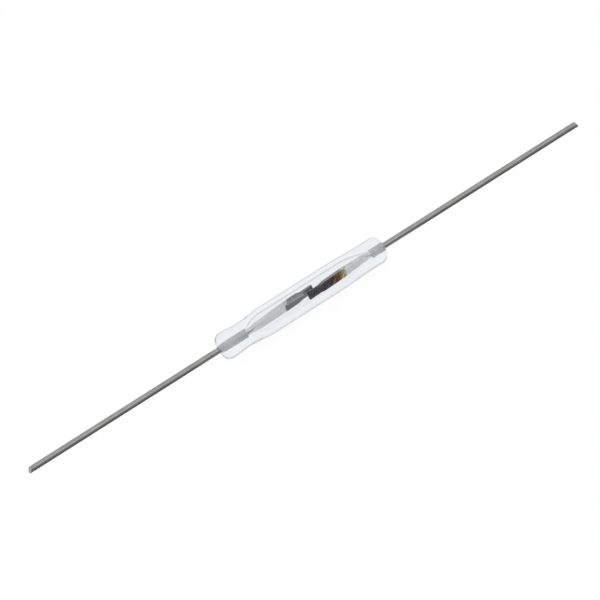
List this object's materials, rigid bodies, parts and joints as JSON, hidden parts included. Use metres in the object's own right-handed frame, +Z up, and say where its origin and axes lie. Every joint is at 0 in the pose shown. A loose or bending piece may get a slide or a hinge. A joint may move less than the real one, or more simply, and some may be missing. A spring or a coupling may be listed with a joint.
{
  "type": "glass reed switch",
  "caption": "Slim glass tube fused onto a straight wire lead at each end, with overlapping flat reeds inside that close as a magnetic contact.",
  "frame": {"origin": "middle of the contact overlap on the tube's axis, which is the middle of the overall length", "axes": "+X along the tube towards the right lead, +Z up along the width of the blades, Y across the contact gap with the left blade on its +Y side"},
  "size_m": [0.047, 0.0022, 0.0022],
  "materials": {
    "glass": "clear drawn glass, fire polished at the seals",
    "tinned_lead": "drawn nickel-iron wire, tinned outside the glass",
    "reed_alloy": "pressed and annealed nickel-iron, pale and matte",
    "left_plating": "dark grey hard contact plating",
    "right_plating": "dark contact plating over gold that shows at its edge"
  },
  "bodies": {
    "capsule": {"glass_capsule": "glass", "left_lead": "tinned_lead", "right_lead": "tinned_lead"},
    "left_reed": {"left_blade": "reed_alloy", "left_contact": "left_plating"},
    "right_reed": {"right_blade": "reed_alloy", "right_contact": "right_plating"}
  },
  "joints": [
    {"name": "left_reed_bend", "type": "hinge", "parent": "capsule", "child": "left_reed", "pos_m": [-0.00445, 0, 0], "axis": [0, 0, -1], "range_deg": [0, 1.6], "stiffness_Nm_per_rad": 0.0002},
    {"name": "right_reed_bend", "type": "hinge", "parent": "capsule", "child": "right_reed", "pos_m": [0.00445, 0, 0], "axis": [0, 0, -1], "range_deg": [0, 1.6], "stiffness_Nm_per_rad": 0.0002}
  ],
  "couplings": [
    {"joint": "right_reed_bend", "follows": "left_reed_bend", "ratio": 1}
  ]
}
